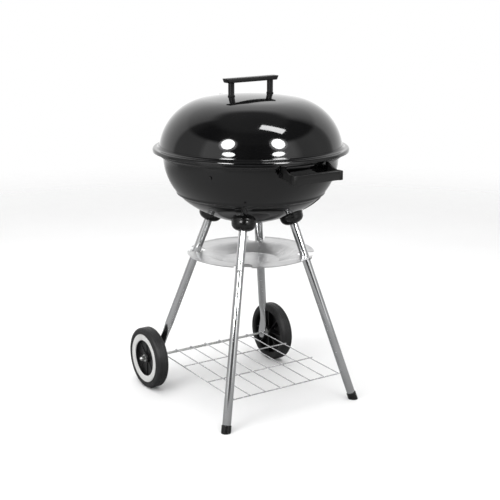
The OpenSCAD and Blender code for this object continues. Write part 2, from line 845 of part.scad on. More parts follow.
module bowl_damper() {
    tab = [30, 10, 2.4];
    color("silver") on_axis() translate([0, 0, bowl_bottom_z]) mirror([0, 0, 1]) difference() {
        union() {
            translate([0, 0, free_gap])
                damper_cap(bowl_crown_r + free_gap, bowl_damper_d);
            translate([bowl_damper_d / 2 - 12, -tab[1] / 2, -2])
                cube(tab);
        }
        bowl_vent_holes();
        cylinder(h = through, r = screw_r + run_gap, center = true);
        translate([0, 0, -bowl_crown_r])
            sphere(r = bowl_crown_r + free_gap, $fn = 180);
    }
}

module bowl_damper_rivet() {
    color("silver") on_axis() translate([0, 0, bowl_bottom_z]) mirror([0, 0, 1]) {
        translate([0, 0, -sheet - 1]) cylinder(h = sheet + 4, r = screw_r);
        translate([0, 0, damper_t + free_gap * 2 + 0.2]) cylinder(h = 2, r = 6);
        translate([0, 0, -sheet - 2.2]) cylinder(h = 2, r = 6);
    }
}

// Places a child at each handle screw, at height z
module at_handle_screws(z) {
    rotate([0, 0, handle_turn])
        for (sx = [-1, 1])
            translate([sx * post_gap / 2, 0, z])
                children();
}

// The bar's section is a flat octagon, and its ends slope in below
module handle_bar() {
    w = bar_w / 2;
    side = 3;
    hull() {
        translate([-bar_l / 2 + 4, -w, bar_top_z - bar_t + 2.5])
            cube([bar_l - 8, bar_w, bar_t - 4]);
        translate([-bar_l / 2, -w + side, bar_top_z - bar_t + 2])
            cube([bar_l, bar_w - 2 * side, bar_t - 5]);
        translate([-bar_l / 2 + 5, -w + side, bar_top_z - bar_t])
            cube([bar_l - 10, bar_w - 2 * side, bar_t]);
    }
}

module lid_handle() {
    post_under = 12;
    color("black") on_axis() difference() {
        union() {
            rotate([0, 0, handle_turn])
                handle_bar();
            at_handle_screws(lid_top_z - post_under)
                translate([-post_w / 2, -post_d / 2, 0])
                    cube([post_w, post_d, handle_h + post_under - bar_t + 1]);
        }
        rotate_extrude() dome_outline(-foot_t - 2 * touch);
        at_handle_screws(lid_top_z - through / 2)
            cylinder(h = through / 2 + handle_screw_deep + 7, r = screw_r + touch);
    }
}

// Thin feet that hold the handle off the hot lid
module lid_handle_feet() {
    color("black") on_axis() difference() {
        at_handle_screws(lid_top_z)
            cube([post_w + 1, post_d + 1, 40], center = true);
        rotate_extrude() dome_outline(-touch);
        rotate_extrude() difference() {
            translate([0, -big / 2]) square([lid_r, 2 * big]);
            dome_outline(-foot_t - touch);
        }
        at_handle_screws(lid_top_z)
            cylinder(h = through, r = screw_r + touch, center = true);
    }
}

module lid_handle_screws() {
    head_h = 2.6;
    color("silver") on_axis()
        at_handle_screws(lid_z(post_gap / 2) - sheet - head_h + 0.4) {
            cylinder(h = head_h + handle_screw_deep, r = screw_r);
            translate([0, 0, -head_h])
                cylinder(h = head_h, r = 5);
        }
}

// ---------- grates ----------

// Half the length of a bar at distance y from the middle of a ring
function bar_half(r, y) = sqrt(r * r - y * y);

module ring(r, z) {
    translate([0, 0, z]) rotate_extrude($fn = 120)
        translate([r - ring_wire_d / 2, 0]) circle(d = ring_wire_d, $fn = 24);
}

// Parallel bars that lie on top of a ring
module bars(r, pitch, z) {
    n = floor((r - 8) / pitch);
    for (i = [-n:n]) {
        half = bar_half(r - ring_wire_d / 2, i * pitch);
        rod([-half, i * pitch, z], [half, i * pitch, z], bar_wire_d);
    }
}

module cooking_grate_ring() {
    r = cook_d / 2 - ring_wire_d / 2;
    color("silver") on_axis() {
        ring(cook_d / 2, cook_z);
        for (x = [-brace_x, brace_x])
            rod([x, -bar_half(r, x), cook_z], [x, bar_half(r, x), cook_z], bar_wire_d);
    }
}

module cooking_grate_bars() {
    color("silver") on_axis() bars(cook_d / 2, cook_pitch, cook_bar_z);
}

// Two upright loops for lifting the grate, standing on its bars
module cooking_grate_loops() {
    low_z = cook_bar_z + bar_wire_d;
    high_z = low_z + 18;
    half = cook_pitch * 2.5;
    color("silver") on_axis() for (x = [-loop_x, loop_x]) {
        rod([x, -half, low_z], [x, half, low_z], bar_wire_d);
        for (y = [-half, half]) {
            rod([x, y, low_z], [x, y, high_z], bar_wire_d);
            translate([x, y, high_z]) sphere(d = bar_wire_d, $fn = 24);
            translate([x, y, low_z]) sphere(d = bar_wire_d, $fn = 24);
        }
        rod([x, -half, high_z], [x, half, high_z], bar_wire_d);
    }
}

module charcoal_grate_ring() {
    r = coal_r - ring_wire_d / 2;
    color("dimgray") on_axis() {
        ring(coal_r, coal_z);
        for (x = [-coal_r * 0.4, coal_r * 0.4])
            rod([x, -bar_half(r, x), coal_z], [x, bar_half(r, x), coal_z], bar_wire_d);
    }
}

module charcoal_grate_bars() {
    color("dimgray") on_axis()
        bars(coal_r, coal_pitch, coal_z + (ring_wire_d + bar_wire_d) / 2);
}

// Places a child on the inside of the bowl's wall, +X pointing out;
// lean follows the slope of the wall
module at_brackets(lean = true) {
    slope = lean ? asin((bowl_widest_z - bracket_z + 8) / bowl_side_r) : 0;
    for (a = bracket_angles) rotate([0, 0, a])
        translate([bowl_radius(bracket_z - 8) - sheet, 0, bracket_z - 8])
            rotate([0, slope, 0]) children();
}

// Angle brackets inside the bowl that the cooking grate rests on
module grate_brackets() {
    color("silver") on_axis() difference() {
        union() {
            at_brackets() translate([-bracket_t - 0.5, -8, -7]) cube([bracket_t, 16, 14.5]);
            at_brackets(false) translate([-16, -8, 8 - bracket_t]) cube([15.5, 16, bracket_t]);
        }
        at_brackets() rotate([0, 90, 0]) cylinder(h = 30, r = rivet_r + touch, center = true);
    }
}

module bracket_rivets() {
    color("silver") on_axis() at_brackets() rotate([0, 90, 0]) {
        translate([0, 0, -4]) cylinder(h = 4 + sheet + 1.8, r = rivet_r);
        translate([0, 0, sheet + 0.3]) cylinder(h = 1.6, r = 4.5);
        translate([0, 0, -bracket_t - 2.1]) cylinder(h = 1.6, r = 4.5);
    }
}

// ---------- assembly ----------

bowl();
lid();
lid_handle();
lid_handle_feet();
lid_handle_screws();
lid_damper();
lid_damper_rivet();
bowl_damper();
bowl_damper_rivet();
cooking_grate_ring();
cooking_grate_bars();
cooking_grate_loops();
charcoal_grate_ring();
charcoal_grate_bars();
grate_brackets();
bracket_rivets();
side_handle();
side_handle_lugs();
side_handle_screws();
leg_straps();
leg_socket_at(-1, -1);  // socket_front_left
leg_socket_at(1, -1);  // socket_front_right
leg_socket_at(-1, 1);  // socket_rear_left
leg_socket_at(1, 1);  // socket_rear_right
leg_bolts();
leg_inserts();
leg_front(-1);  // leg_front_left
leg_front(1);  // leg_front_right
leg_rear();  // leg_rear_left
mirror([1, 0, 0]) leg_rear();  // leg_rear_right
foot_cap(-1);  // foot_cap_left
foot_cap(1);  // foot_cap_right
ash_tray();
tray_screws();
wire_shelf();
axle();
color("dimgray") at_wheel(-1) tyre();  // tyre_left
color("dimgray") at_wheel(1) tyre();  // tyre_right
color("black") at_wheel(-1) hub();  // hub_left
color("black") at_wheel(1) hub();  // hub_right
color("white") at_wheel(-1) trim_ring();  // trim_ring_left
color("white") at_wheel(1) trim_ring();  // trim_ring_right
axle_washers();
axle_nuts();
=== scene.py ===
"""Kettle charcoal grill on a wheeled cart: its looks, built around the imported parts."""

import math

import bmesh
import bpy
from mathutils import Matrix, Vector


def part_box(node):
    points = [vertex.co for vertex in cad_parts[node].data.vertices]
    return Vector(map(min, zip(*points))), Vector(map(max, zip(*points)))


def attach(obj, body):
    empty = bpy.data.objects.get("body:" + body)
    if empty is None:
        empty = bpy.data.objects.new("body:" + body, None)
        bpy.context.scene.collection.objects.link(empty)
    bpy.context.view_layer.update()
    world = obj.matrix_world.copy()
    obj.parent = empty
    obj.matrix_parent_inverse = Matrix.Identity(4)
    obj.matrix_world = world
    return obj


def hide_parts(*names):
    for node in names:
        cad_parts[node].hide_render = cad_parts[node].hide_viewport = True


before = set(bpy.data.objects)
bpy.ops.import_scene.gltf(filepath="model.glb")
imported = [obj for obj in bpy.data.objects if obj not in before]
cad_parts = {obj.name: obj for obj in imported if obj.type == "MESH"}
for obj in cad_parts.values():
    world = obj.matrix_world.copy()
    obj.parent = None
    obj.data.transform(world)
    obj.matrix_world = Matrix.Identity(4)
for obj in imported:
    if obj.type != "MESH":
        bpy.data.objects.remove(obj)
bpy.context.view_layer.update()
scene = bpy.context.scene

# Shapes are made in millimetres about the kettle's own axis, then put into the frame in metres.
MM = 0.001
KETTLE_Y = 5.15
TO_FRAME = Matrix.Scale(MM, 4) @ Matrix.Translation((0, KETTLE_Y, 0))

# ---------- shaping tools ----------


def arc(x, z, r, start, stop, count):
    """Points on an arc about (x, z). Angles are in degrees, measured from straight up."""
    turns = [math.radians(start + (stop - start) * i / count) for i in range(count + 1)]
    return [(x + r * math.sin(a), z + r * math.cos(a)) for a in turns]


def softened(outline, radius, count=3):
    """A closed outline with each of its corners rounded off."""
    points = [Vector(p) for p in outline]
    soft = []
    for before, corner, after in zip(points[-1:] + points[:-1], points, points[1:] + points[:1]):
        back, ahead = before - corner, after - corner
        reach = min(radius, back.length * 0.45, ahead.length * 0.45)
        if corner.x < 1e-6:
            soft.append(tuple(corner))
            continue
        start, stop = corner + back.normalized() * reach, corner + ahead.normalized() * reach
        for i in range(count + 1):
            t = i / count
            soft.append(tuple(start * (1 - t) ** 2 + corner * 2 * t * (1 - t) + stop * t * t))
    return soft


def closed(bm):
    """Merges doubles and turns every face outwards."""
    bmesh.ops.remove_doubles(bm, verts=bm.verts[:], dist=1e-3)
    bmesh.ops.recalc_face_normals(bm, faces=bm.faces[:])
    return bm


def turned(outline, steps=96):
    """Spins a closed outline of (radius, height) points about the upright axis."""
    bm = bmesh.new()
    verts = [bm.verts.new((r, 0, z)) for r, z in outline]
    edges = [bm.edges.new(pair) for pair in zip(verts, verts[1:] + verts[:1])
             if max(v.co.x for v in pair) > 1e-3]
    bmesh.ops.spin(bm, geom=verts + edges, cent=(0, 0, 0), axis=(0, 0, 1), angle=math.tau,
                   steps=steps, use_merge=True)
    return closed(bm)


def placed(bm, matrix):
    bmesh.ops.transform(bm, matrix=matrix, verts=bm.verts[:])
    if matrix.determinant() < 0:
        bmesh.ops.reverse_faces(bm, faces=bm.faces[:])
    return bm


def together(*parts):
    """All the parts in one mesh."""
    whole = parts[0]
    for part in parts[1:]:
        mesh = bpy.data.meshes.new("part")
        part.to_mesh(mesh)
        part.free()
        whole.from_mesh(mesh)
        bpy.data.meshes.remove(mesh)
    return whole


def bevelled(bm, edges, offset, segments=3):
    bmesh.ops.bevel(bm, geom=edges, offset=offset, offset_type="OFFSET", segments=segments,
                    profile=0.5, affect="EDGES", clamp_overlap=True, material=-1)
    return bm


def block(size, centre, bevel=0.0):
    bm = bmesh.new()
    shape = Matrix.Translation(centre) @ Matrix.Diagonal((*size, 1))
    bmesh.ops.create_cube(bm, size=1.0, matrix=shape)
    return bevelled(bm, bm.edges[:], bevel) if bevel else bm


def rod(start, stop, r, sides=20, bevel=None):
    start, stop = Vector(start), Vector(stop)
    way = stop - start
    place = Matrix.Translation((start + stop) / 2) @ way.to_track_quat("Z", "Y").to_matrix().to_4x4()
    bm = bmesh.new()
    bmesh.ops.create_cone(bm, cap_ends=True, segments=sides, radius1=r, radius2=r,
                          depth=way.length, matrix=place)
    rims = [e for e in bm.edges if any(len(f.verts) > 4 for f in e.link_faces)]
    return bevelled(bm, rims, r * 0.3 if bevel is None else bevel, 2)


def drawn_out(rings, sides=32):
    """A closed form through a row of rings, each (centre, sideways, upwards, squareness)."""
    bm = bmesh.new()
    bmesh.ops.create_circle(bm, segments=sides, radius=1)
    bm.verts.ensure_lookup_table()
    ring = bm.verts[:]
    turns = [math.atan2(v.co.y, v.co.x) for v in ring]
    edges = bm.edges[:]
    for step, (centre, sideways, upwards, squareness) in enumerate(rings):
        if step:
            grown = bmesh.ops.extrude_edge_only(bm, edges=edges)["geom"]
            fresh = {v for v in grown if isinstance(v, bmesh.types.BMVert)}
            edges = [e for e in grown if isinstance(e, bmesh.types.BMEdge)
                     and all(v in fresh for v in e.verts)]
            linked = {}
            for v in ring:
                linked[v] = next(e.other_vert(v) for e in v.link_edges if e.other_vert(v) in fresh)
            ring = [linked[v] for v in ring]
        for v, a in zip(ring, turns):
            c, s = math.cos(a), math.sin(a)
            u = math.copysign(abs(c) ** (2 / squareness), c)
            w = math.copysign(abs(s) ** (2 / squareness), s)
            v.co = Vector(centre) + Vector(sideways) * u + Vector(upwards) * w
    bmesh.ops.holes_fill(bm, edges=[e for e in bm.edges if e.is_boundary], sides=0)
    return closed(bm)


def wire(path, r, sides=12):
    """A round wire along a path, with slightly rounded ends."""
    points = [Vector(p) for p in path]
    ways = [(points[min(i + 1, len(points) - 1)] - points[max(i - 1, 0)]).normalized()
            for i in range(len(points))]
    turn = ways[0].to_track_quat("Z", "Y")
    rings = []
    for i, (point, way) in enumerate(zip(points, ways)):
        if i:
            turn = ways[i - 1].rotation_difference(way) @ turn
        across, up = turn @ Vector((r, 0, 0)), turn @ Vector((0, r, 0))
        if i == 0:
            rings.append((point, across * 0.7, up * 0.7, 2))
            point = point + way * r * 0.3
        if i == len(points) - 1:
            rings.append((point - way * r * 0.3, across, up, 2))
            across, up = across * 0.7, up * 0.7
        rings.append((point, across, up, 2))
    return drawn_out(rings, sides)


def loose(bm):
    """A plain object that holds the mesh while a modifier works on it."""
    mesh = bpy.data.meshes.new("loose")
    bm.to_mesh(mesh)
    bm.free()
    obj = bpy.data.objects.new("loose", mesh)
    scene.collection.objects.link(obj)
    return obj


def cut(bm, *tools):
    """Takes each closed tool out of the closed shape."""
    for tool in tools:
        body, knife = loose(bm), loose(tool)
        modifier = body.modifiers.new("cut", "BOOLEAN")
        modifier.operation = "DIFFERENCE"
        modifier.solver = "EXACT"
        modifier.object = knife
        bpy.context.view_layer.update()
        done = body.evaluated_get(bpy.context.evaluated_depsgraph_get())
        bm = bmesh.new()
        bm.from_mesh(done.to_mesh())
        done.to_mesh_clear()
        for obj in (body, knife):
            mesh = obj.data
            bpy.data.objects.remove(obj)
            bpy.data.meshes.remove(mesh)
    return bm


def painted(bm, index):
    """Gives every face one of the piece's finishes."""
    for face in bm.faces:
        face.material_index = index
    return bm


def piece(name, bm, body, slot, finishes, *nodes, sharp=30):
    """Puts a finished shape into the scene, riding on its body and standing for its CAD nodes."""
    placed(bm, TO_FRAME)
    mesh = bpy.data.meshes.new(name)
    bm.to_mesh(mesh)
    bm.free()
    for finish in finishes if isinstance(finishes, tuple) else (finishes,):
        mesh.materials.append(finish)
    mesh.shade_smooth()
    mesh.set_sharp_from_angle(angle=math.radians(sharp))
    obj = bpy.data.objects.new(name, mesh)
    scene.collection.objects.link(obj)
    if nodes:
        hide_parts(*nodes)
    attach(obj, body)
    return obj


# ---------- finishes ----------


def ramp_stops(ramp, stops):
    """Fills a colour ramp from (position, colour) pairs in rising order."""
    elements = ramp.color_ramp.elements
    elements.remove(elements[1])
    elements[0].position = stops[0][0]
    elements[0].color = (*stops[0][1], 1)
    for spot, colour in stops[1:]:
        elements.new(spot).color = (*colour, 1)


class Finish:
    """A Principled material with small helpers for its nodes."""

    def __init__(self, name, **settings):
        self.made = bpy.data.materials.new(name)
        self.made.use_nodes = True
        self.tree = self.made.node_tree
        self.shader = self.tree.nodes["Principled BSDF"]
        for key, value in settings.items():
            self.shader.inputs[key.replace("_", " ")].default_value = value
        self.relief = None

    def node(self, kind, **inputs):
        fresh = self.tree.nodes.new(kind)
        for key, value in inputs.items():
            socket = fresh.inputs[key.replace("_", " ")]
            if isinstance(value, bpy.types.NodeSocket):
                self.tree.links.new(value, socket)
            else:
                socket.default_value = value
        return fresh

    def place(self, stretch=(1, 1, 1), turn=(0, 0, 0)):
        """Object coordinates, turned and then stretched."""
        spot = self.node("ShaderNodeTexCoord").outputs["Object"]
        turned_spot = self.node("ShaderNodeMapping", Vector=spot, Rotation=turn)
        return self.node("ShaderNodeMapping", Vector=turned_spot.outputs[0],
                         Scale=stretch).outputs[0]

    def noise(self, scale, detail=4.0, roughness=0.55, distortion=0.0, **place):
        return self.node("ShaderNodeTexNoise", Vector=self.place(**place), Scale=scale,
                         Detail=detail, Roughness=roughness, Distortion=distortion).outputs["Fac"]

    def spread(self, fac, low, high, start=0.3, stop=0.7):
        return self.node("ShaderNodeMapRange", Value=fac, From_Min=start, From_Max=stop,
                         To_Min=low, To_Max=high).outputs[0]

    def colours(self, fac, *stops):
        """Base colour along a factor; stops are (position, colour)."""
        ramp = self.node("ShaderNodeValToRGB", Fac=fac)
        ramp_stops(ramp, stops)
        self.tree.links.new(ramp.outputs["Color"], self.shader.inputs["Base Color"])
        return self

    def dull(self, fac, low, high, start=0.3, stop=0.7):
        """Roughness from low to high along a factor."""
        self.tree.links.new(self.spread(fac, low, high, start, stop), self.shader.inputs["Roughness"])
        return self

    def bumps(self, fac, depth):
        """Relief of a real depth in metres."""
        bump = self.node("ShaderNodeBump", Height=fac, Distance=depth, Strength=1.0)
        if self.relief:
            self.tree.links.new(self.relief, bump.inputs["Normal"])
        self.relief = bump.outputs["Normal"]
        self.tree.links.new(self.relief, self.shader.inputs["Normal"])
        return self


def enamel(name, level):
    """Vitreous black enamel, glossy with a faint orange peel."""
    f = Finish(name, IOR=1.5, Specular_IOR_Level=level)
    f.colours(f.noise(14), (0.3, (0.0018, 0.0018, 0.002)), (0.7, (0.0036, 0.0036, 0.0038)))
    f.dull(f.noise(60, detail=6), 0.035, 0.085)
    f.bumps(f.noise(130, detail=1.5), 0.000016)
    f.bumps(f.noise(1100, detail=2), 0.000002)
    return f.made


def moulded(name, stretch, turn=(0, 0, 0), gloss=(0.34, 0.5), level=1.0):
    """Black glass-filled plastic with flow streaks along one direction."""
    f = Finish(name, IOR=1.5, Specular_IOR_Level=0.3)
    streaks = f.noise(60, detail=5, distortion=0.4, stretch=stretch, turn=turn)
    f.colours(streaks, (0.35, (0.003 * level,) * 3), (0.6, (0.006 * level,) * 3),
              (0.78, (0.016 * level,) * 3))
    f.dull(streaks, gloss[0], gloss[1])
    f.bumps(streaks, 0.00012)
    f.bumps(f.noise(1500, detail=3), 0.00002)
    return f.made


def bakelite():
    """Pressed phenolic of the leg sockets and foot caps."""
    f = Finish("black_bakelite", IOR=1.5, Specular_IOR_Level=0.35)
    f.colours(f.noise(90, detail=5), (0.35, (0.003, 0.003, 0.003)), (0.7, (0.007, 0.007, 0.0068)))
    f.dull(f.noise(220, detail=5), 0.16, 0.3)
    f.bumps(f.noise(420, detail=4), 0.00002)
    return f.made


def rubber():
    """Dark grey blow-moulded tyre with a fine matt grain."""
    f = Finish("tyre_rubber", IOR=1.5, Specular_IOR_Level=0.3)
    f.colours(f.noise(50, detail=6), (0.3, (0.011, 0.011, 0.0115)), (0.7, (0.021, 0.021, 0.0215)))
    f.dull(f.noise(160, detail=6), 0.42, 0.62)
    f.bumps(f.noise(900, detail=5), 0.00006)
    f.bumps(f.noise(60, detail=2), 0.0001)
    return f.made


def hub_plastic():
    f = Finish("hub_plastic", IOR=1.49, Specular_IOR_Level=0.3)
    f.colours(f.noise(70, detail=5), (0.3, (0.004, 0.004, 0.0045)), (0.7, (0.012, 0.012, 0.0125)))
    f.dull(f.noise(200, detail=5), 0.28, 0.45)
    f.bumps(f.noise(700, detail=4), 0.00004)
    return f.made


def ring_plastic():
    """Off-white trim ring."""
    f = Finish("white_plastic", IOR=1.49, Subsurface_Weight=0.0)
    f.colours(f.noise(45, detail=6), (0.3, (0.66, 0.66, 0.645)), (0.7, (0.76, 0.76, 0.75)))
    f.dull(f.noise(180, detail=5), 0.3, 0.46)
    f.bumps(f.noise(600, detail=4), 0.00004)
    return f.made


def chromed(name, turn):
    """Chrome-plated tube, polished along its length."""
    f = Finish(name, Metallic=1.0)
    lines = f.noise(700, detail=4, stretch=(1, 1, 0.03), turn=turn)
    smears = f.noise(26, detail=5, stretch=(1, 1, 0.35), turn=turn)
    f.colours(smears, (0.3, (0.44, 0.445, 0.452)), (0.7, (0.56, 0.565, 0.57)))
    f.dull(smears, 0.09, 0.2)
    f.bumps(lines, 0.000006)
    f.bumps(f.noise(45, detail=2), 0.00003)
    return f.made


def bright_wire():
    f = Finish("chromed_wire", Metallic=1.0)
    f.colours(f.noise(120, detail=5), (0.3, (0.52, 0.52, 0.53)), (0.7, (0.72, 0.72, 0.73)))
    f.dull(f.noise(300, detail=5), 0.16, 0.32)
    f.bumps(f.noise(1300, detail=3), 0.00001)
    return f.made


def dark_wire():
    """Bare steel wire, darkened and lightly rusted."""
    f = Finish("dark_wire", Metallic=0.75)
    f.colours(f.noise(150, detail=8, roughness=0.7), (0.38, (0.06, 0.058, 0.056)),
              (0.58, (0.13, 0.125, 0.12)), (0.74, (0.16, 0.075, 0.04)))
    f.dull(f.noise(240, detail=6), 0.42, 0.68)
    f.bumps(f.noise(700, detail=6), 0.00008)
    return f.made


def satin():
    """Rolled satin sheet of the ash tray."""
    f = Finish("satin_sheet", Metallic=1.0)
    rolled = f.noise(160, detail=5, stretch=(0.03, 1, 1))
    f.colours(f.noise(18, detail=6), (0.3, (0.42, 0.42, 0.425)), (0.7, (0.50, 0.50, 0.50)))
    f.dull(rolled, 0.26, 0.42)
    f.bumps(rolled, 0.000015)
    f.bumps(f.noise(9, detail=1), 0.0002)
    return f.made


def zinc():
    """Zinc-plated fasteners."""
    f = Finish("zinc_steel", Metallic=1.0)
    f.colours(f.noise(210, detail=6), (0.3, (0.42, 0.43, 0.44)), (0.7, (0.62, 0.62, 0.60)))
    f.dull(f.noise(400, detail=6), 0.22, 0.42)
    f.bumps(f.noise(1200, detail=4), 0.00002)
    return f.made


ENAMEL, BOWL_ENAMEL = enamel("black_enamel", 0.5), enamel("bowl_enamel", 0.45)
BAKELITE, RUBBER, HUB = bakelite(), rubber(), hub_plastic()
RING, WIRE, DARK_WIRE, SATIN, ZINC = ring_plastic(), bright_wire(), dark_wire(), satin(), zinc()
BAR_PLASTIC = moulded("handle_bar_plastic", (0.12, 1.6, 1.6))
POST_PLASTIC = moulded("handle_post_plastic", (1.6, 1.6, 0.12), gloss=(0.38, 0.55), level=0.8)

# ---------- lid ----------

SHEET = 1.6
RIM_Z = 588
LID_TOP = 703.94
CROWN_R, SHOULDER_R, SHOULDER_X, SHOULDER_Z = 600, 122, 84, 574.5
CROWN_ANGLE = 10.12
FLANGE_ANGLE = 80.8


def dome_line(inset):
    """The dome's outline from its top down to the flange."""
    return (arc(0, LID_TOP - CROWN_R, CROWN_R - inset, 0, CROWN_ANGLE, 14)
            + arc(SHOULDER_X, SHOULDER_Z, SHOULDER_R - inset, CROWN_ANGLE + 1.5, FLANGE_ANGLE, 44))


def lid_z(r):
    return LID_TOP - CROWN_R + math.sqrt(CROWN_R ** 2 - r * r)


def lid_outline():
    outside = dome_line(0) + arc(212, 594, 6, 270, 180, 8) + arc(215.4, 583.4, 4.6, 0, 90, 8)
    lip = arc(219.2, 580.8, 0.8, 90, 270, 6)
    inside = arc(215.4, 583.4, 3, 90, 0, 6) + arc(212, 594, 7.6, 180, 270, 8)
    return outside + lip + inside + dome_line(SHEET)[::-1]


VENT_OUT = 150
VENT_SLOPE = math.asin((VENT_OUT - SHOULDER_X) / SHOULDER_R)
VENT_MIDDLE = (0, VENT_OUT, SHOULDER_Z + math.sqrt(SHOULDER_R ** 2 - (VENT_OUT - SHOULDER_X) ** 2))
# Radius of each ring of vent holes, their number and the direction of the first
LID_VENTS, BOWL_VENTS = (17, 3, 90), (30, 4, 45)
AT_VENT = Matrix.Translation(VENT_MIDDLE) @ Matrix.Rotation(-VENT_SLOPE, 4, "X")
HANDLE_TURN = Matrix.Rotation(math.radians(4.7), 4, "Z")


def holes(ring_r, count, first=0.0, r=7.0, sides=40):
    """Cutters for a ring of round holes."""
    spots = [math.radians(first + 360 * i / count) for i in range(count)]
    return [rod((ring_r * math.cos(a), ring_r * math.sin(a), -30),
                (ring_r * math.cos(a), ring_r * math.sin(a), 30), r, sides, 0.01) for a in spots]


lid = turned(lid_outline(), 192)
lid = cut(lid, *[placed(hole, AT_VENT) for hole in holes(*LID_VENTS)])
piece("lid_shell", lid, "lid", "black_enamel", ENAMEL, "lid")


def damper_plate(cap_r, disc_r, lift, thickness=1.2):
    """A disc of sheet, domed like the surface under it."""
    angle = math.degrees(math.asin((disc_r - 0.6) / (cap_r + thickness)))
    low = arc(0, lift - cap_r, cap_r, 0, angle, 14)
    high = arc(0, lift - cap_r, cap_r + thickness, angle, 0, 14)
    middle = (low[-1][1] + high[0][1]) / 2
    edge = [(disc_r, middle - 0.25), (disc_r, middle + 0.25)]
    return turned(low + edge + high, 72)


lid_damper = cut(damper_plate(VENT_OUT / math.sin(VENT_SLOPE), 28, 0.65), *holes(*LID_VENTS))
tab = block((1.6, 12, 11), (22.2, 0, 5.6), 0.7)
root = block((5, 12, 1.4), (20.6, 0, 0.7), 0.5)
piece("lid_damper_disc", placed(together(lid_damper, tab, root), AT_VENT), "lid_damper",
      "satin_sheet", ZINC, "lid_damper")

# ---------- lid handle ----------

BAR_TOP = LID_TOP + 37
BAR_LONG, BAR_DEEP, BAR_THICK = 145, 20, 9.5
POST_X, POST_WIDE, POST_DEEP = 54.5, 10.5, 10


def handle_bar():
    """A flat bar whose ends slope in below, with all its corners eased."""
    bm = block((BAR_LONG, BAR_DEEP, BAR_THICK), (0, 0, BAR_TOP - BAR_THICK / 2))
    for v in bm.verts:
        if v.co.z < BAR_TOP - 5:
            v.co.x -= math.copysign(4.5, v.co.x)
    bevelled(bm, bm.edges[:], 1.9, 3)
    return bm


def handle_post(side):
    low = lid_z(POST_X + 6) + 1.9
    high = BAR_TOP - 8
    bm = block((POST_WIDE, POST_DEEP, high - low), (side * POST_X, 0, (high + low) / 2))
    bevelled(bm, [e for e in bm.edges if abs(e.verts[0].co.z - e.verts[1].co.z) > 1], 1.0, 2)
    # a shallow channel runs down each broad face
    faces = [f for f in bm.faces if abs(f.normal.z) < 0.5 and f.calc_area() > 150]
    bmesh.ops.inset_individual(bm, faces=faces, thickness=2.2, depth=-0.6)
    return bm


handle = together(painted(handle_bar(), 0), painted(handle_post(-1), 1), painted(handle_post(1), 1))
piece("lid_grip", placed(handle, HANDLE_TURN), "lid", "black_plastic", (BAR_PLASTIC, POST_PLASTIC),
      "lid_handle")

# ---------- bowl ----------

BOWL_TOP = RIM_Z - SHEET - 0.35
HEM_HIGH = 16.5
BOWL_R = 197.5
BOTTOM_R, SIDE_R, SIDE_Z = 241, 135, 573
SIDE_X = BOWL_R - SIDE_R
RIDGE_OUT = 166
BOWL_ANGLE = math.degrees(math.asin(SIDE_X / (BOTTOM_R - SIDE_R)))
BOWL_LOW = SIDE_Z - BOTTOM_R + (BOTTOM_R - SIDE_R) * math.cos(math.radians(BOWL_ANGLE))
BOTTOM_Z = BOWL_LOW + BOTTOM_R
RIDGE = math.degrees(math.asin((RIDGE_OUT - SIDE_X) / SIDE_R))


def bowl_z(r):
    return BOTTOM_Z - math.sqrt(BOTTOM_R ** 2 - r * r)


def bowl_line(inset, proud=0.0, pressed=True):
    """The bowl's outline from its lowest point up to the hem, with the pressed ridge."""
    line = arc(0, BOTTOM_Z, BOTTOM_R - inset + proud, 180, 180 - BOWL_ANGLE, 24)
    count = 96
    for i in range(1, count + 1):
        angle = BOWL_ANGLE + (87.4 - BOWL_ANGLE) * i / count
        swell = 2.3 * math.exp(-((angle - RIDGE) / 1.35) ** 2)
        ridge = swell - 0.8 * math.exp(-((angle - RIDGE + 3.3) / 1.2) ** 2)
        r = SIDE_R - inset + proud + (ridge if pressed else 0)
        a = math.radians(angle)
        line.append((SIDE_X + r * math.sin(a), SIDE_Z - r * math.cos(a)))
    return line


def bowl_outline():
    hem_low, hem_r = BOWL_TOP - HEM_HIGH, 4.8
    hem_x = BOWL_R - SHEET + hem_r
    hem = ([(197.8, hem_low - 0.7), (198.7, hem_low - 0.1)]
           + arc(hem_x, hem_low + hem_r, hem_r, 180, 90, 8)
           + arc(hem_x, BOWL_TOP - hem_r, hem_r, 90, -90, 16))
    return bowl_line(0) + hem + bowl_line(SHEET)[::-1]


def under_bowl():
    """Solid of the bowl, for trimming what sits against it."""
    return turned(bowl_line(0, 0.1, False) + [(197, 600), (0, 600)], 128)


AT_BOTTOM = Matrix.Translation((0, 0, BOWL_LOW))
bowl = turned(bowl_outline(), 192)
bowl = cut(bowl, *[placed(hole, AT_BOTTOM) for hole in holes(*BOWL_VENTS)])
piece("bowl_shell", bowl, "stand", "black_enamel", BOWL_ENAMEL, "bowl")

bowl_damper = cut(damper_plate(BOTTOM_R + 0.35, 46, 0.35), *holes(*BOWL_VENTS))
tab = block((30, 10, 1.6), (49, 0, -1.1), 0.7)
knob = block((4, 10, 6), (62, 0, 1.2), 1.2)
flip = AT_BOTTOM @ Matrix.Diagonal((1, 1, -1, 1))
piece("bowl_damper_disc", placed(together(bowl_damper, tab, knob), flip), "bowl_damper",
      "satin_sheet", ZINC, "bowl_damper")

# ---------- legs, sockets, straps and feet ----------

SOCKET_R, SOCKET_ANGLE = 92, math.radians(46.5)
SEAT = Vector((SOCKET_R * math.cos(SOCKET_ANGLE), SOCKET_R * math.sin(SOCKET_ANGLE), bowl_z(SOCKET_R)))
FOOT = Vector((175.8, -165.9, 0))
AXLE_Y, AXLE_Z = 170.2, 72.5
BEND = Vector((147.5, AXLE_Y - 7.7, AXLE_Z + 31.5))
EAR_END = Vector((147.5, AXLE_Y, AXLE_Z))
TUBE_R = 9.5
# Where the tube starts in its socket, measured down the leg
TUBE_START = 11.2


